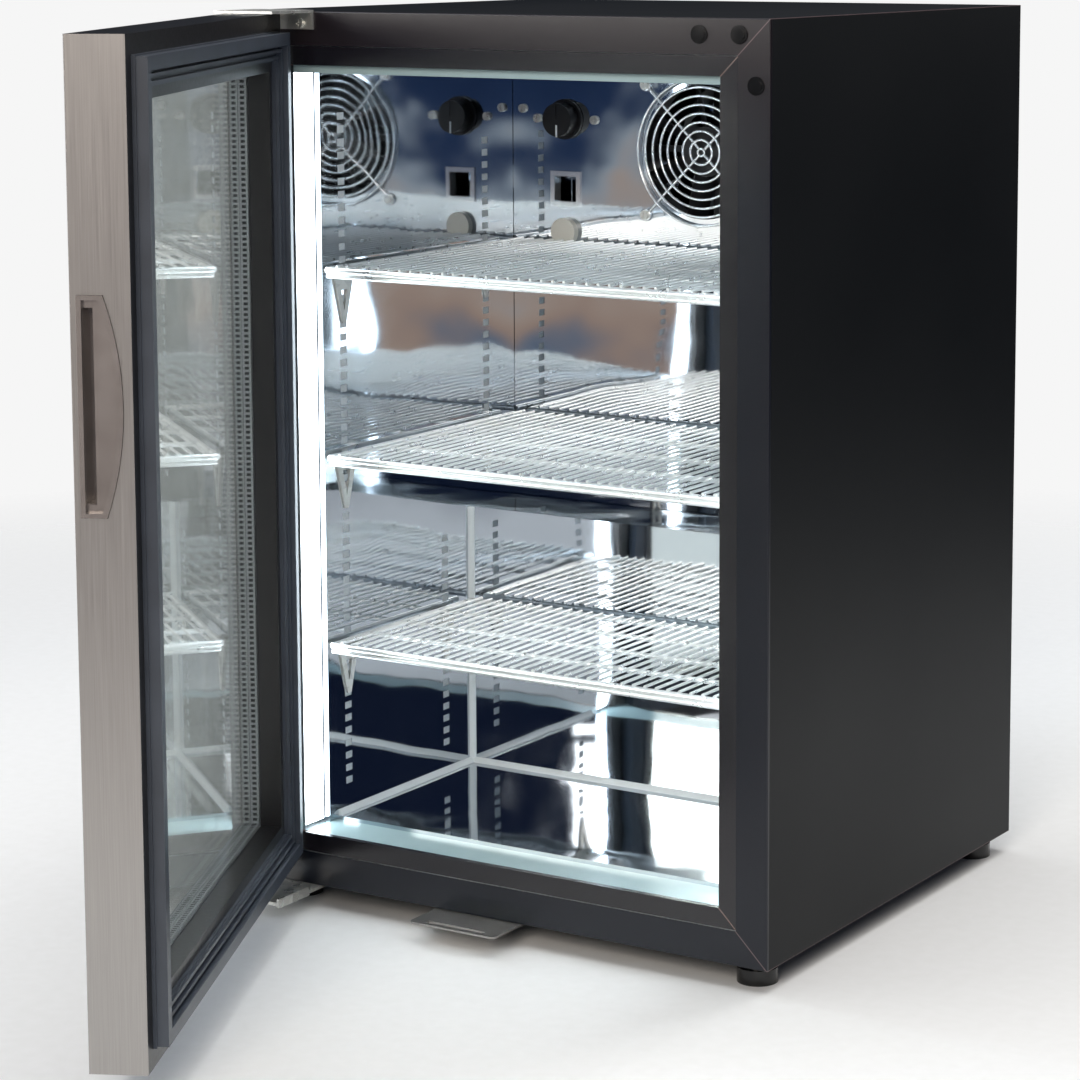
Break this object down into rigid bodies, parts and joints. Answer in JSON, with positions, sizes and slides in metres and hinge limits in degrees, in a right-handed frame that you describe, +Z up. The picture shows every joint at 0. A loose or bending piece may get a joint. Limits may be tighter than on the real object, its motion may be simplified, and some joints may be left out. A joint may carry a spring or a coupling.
{
  "type": "glass door merchandiser",
  "caption": "Small upright under-counter cooler with a lit mirror-lined bay, lift-out wire shelves, a fan evaporator and a hinged framed glass door.",
  "frame": {"origin": "centre of the bounding box's footprint at the bottom of the feet, door open", "axes": "+Z up; -Y out of the cabinet's door side; +X to the right seen from the front"},
  "size_m": [0.45, 0.8359, 0.687],
  "materials": {
    "black_paint": "semi-gloss black powder coat",
    "galvanised_steel": "zinc-coated sheet steel",
    "brushed_stainless": "brushed stainless steel",
    "polished_stainless": "mirror-polished stainless steel",
    "chrome_wire": "bright chrome plating",
    "white_coated_wire": "bright plated wire",
    "aluminium": "mill aluminium",
    "black_plastic": "satin black plastic",
    "gloss_black_plastic": "gloss black plastic",
    "grey_plastic": "satin warm-grey plastic",
    "pale_plastic": "satin off-white plastic",
    "milky_plastic": "milky diffuser plastic",
    "rubber": "dark grey soft rubber",
    "foam": "rigid insulating foam",
    "clear_glass": "clear float glass"
  },
  "bodies": {
    "cabinet": {"back_panel": "galvanised_steel", "base_pan": "black_paint", "bottom_hinge_bracket": "galvanised_steel", "breaker_strips": "pale_plastic", "compressor": "black_paint", "compressor_mounts": "rubber", "condenser": "black_paint", "cover_hole_cap": "grey_plastic", "evaporator_coil": "aluminium", "evaporator_cover": "polished_stainless", "fan_frame": "black_plastic", "fan_guard": "chrome_wire", "feet": "gloss_black_plastic", "hinge_hole_plugs": "gloss_black_plastic", "insulation": "foam", "left_side_panel": "black_paint", "light_channels": "aluminium", "light_lenses": "milky_plastic", "liner_back_wall": "polished_stainless", "liner_ceiling": "polished_stainless", "liner_floor": "polished_stainless", "liner_hump": "polished_stainless", "liner_left_wall": "polished_stainless", "liner_right_wall": "polished_stainless", "lock_strike_plate": "brushed_stainless", "power_inlet": "black_plastic", "rear_grille": "galvanised_steel", "return_air_bezel": "chrome_wire", "right_side_panel": "black_paint", "screws": "galvanised_steel", "shelf_clips": "galvanised_steel", "thermostat_body": "grey_plastic", "top_hinge_bracket": "galvanised_steel", "top_panel": "black_paint", "trim_bottom": "black_paint", "trim_left": "black_paint", "trim_right": "black_paint", "trim_top": "black_paint"},
    "door": {"door_gasket": "rubber", "door_handle_insert": "grey_plastic", "door_profile_bottom": "black_plastic", "door_profile_left": "black_plastic", "door_profile_right": "black_plastic", "door_profile_top": "black_plastic", "door_skin_bottom": "brushed_stainless", "door_skin_left": "brushed_stainless", "door_skin_right": "brushed_stainless", "door_skin_top": "brushed_stainless", "glass_inner_pane": "clear_glass", "glass_middle_pane": "clear_glass", "glass_outer_pane": "clear_glass", "glass_spacers": "aluminium", "hinge_bushes": "grey_plastic", "lock_barrel": "chrome_wire"},
    "fan_rotor": {"fan_rotor": "black_plastic"},
    "lock_core": {"lock_core": "brushed_stainless"},
    "shelf_bottom": {"shelf_bottom": "white_coated_wire"},
    "shelf_middle": {"shelf_middle": "white_coated_wire"},
    "shelf_top": {"shelf_top": "white_coated_wire"},
    "thermostat_knob": {"thermostat_knob": "black_plastic"}
  },
  "joints": [
    {"name": "door_hinge", "type": "hinge", "parent": "cabinet", "child": "door", "pos_m": [-0.201, -0.028, 0], "axis": [0, 0, -1], "range_deg": [-64.2, 45.8]},
    {"name": "evaporator_fan_spin", "type": "hinge", "parent": "cabinet", "child": "fan_rotor", "pos_m": [0, 0.31855, 0.5688], "axis": [0, 1, 0], "continuous": true},
    {"name": "thermostat_turn", "type": "hinge", "parent": "cabinet", "child": "thermostat_knob", "pos_m": [-0.1295, 0.3, 0.5913], "axis": [0, 1, 0], "range_deg": [0, 270]},
    {"name": "lock_turn", "type": "hinge", "parent": "door", "child": "lock_core", "pos_m": [-0.11614, -0.18746, 0.046], "axis": [0.9003, 0.4352, 0], "range_deg": [0, 90]},
    {"name": "shelf_top_lift", "type": "slide", "parent": "cabinet", "child": "shelf_top", "axis": [0, 0, 1], "range_m": [0, 0.014]},
    {"name": "shelf_middle_lift", "type": "slide", "parent": "cabinet", "child": "shelf_middle", "axis": [0, 0, 1], "range_m": [0, 0.014]},
    {"name": "shelf_bottom_lift", "type": "slide", "parent": "cabinet", "child": "shelf_bottom", "axis": [0, 0, 1], "range_m": [0, 0.014]}
  ]
}
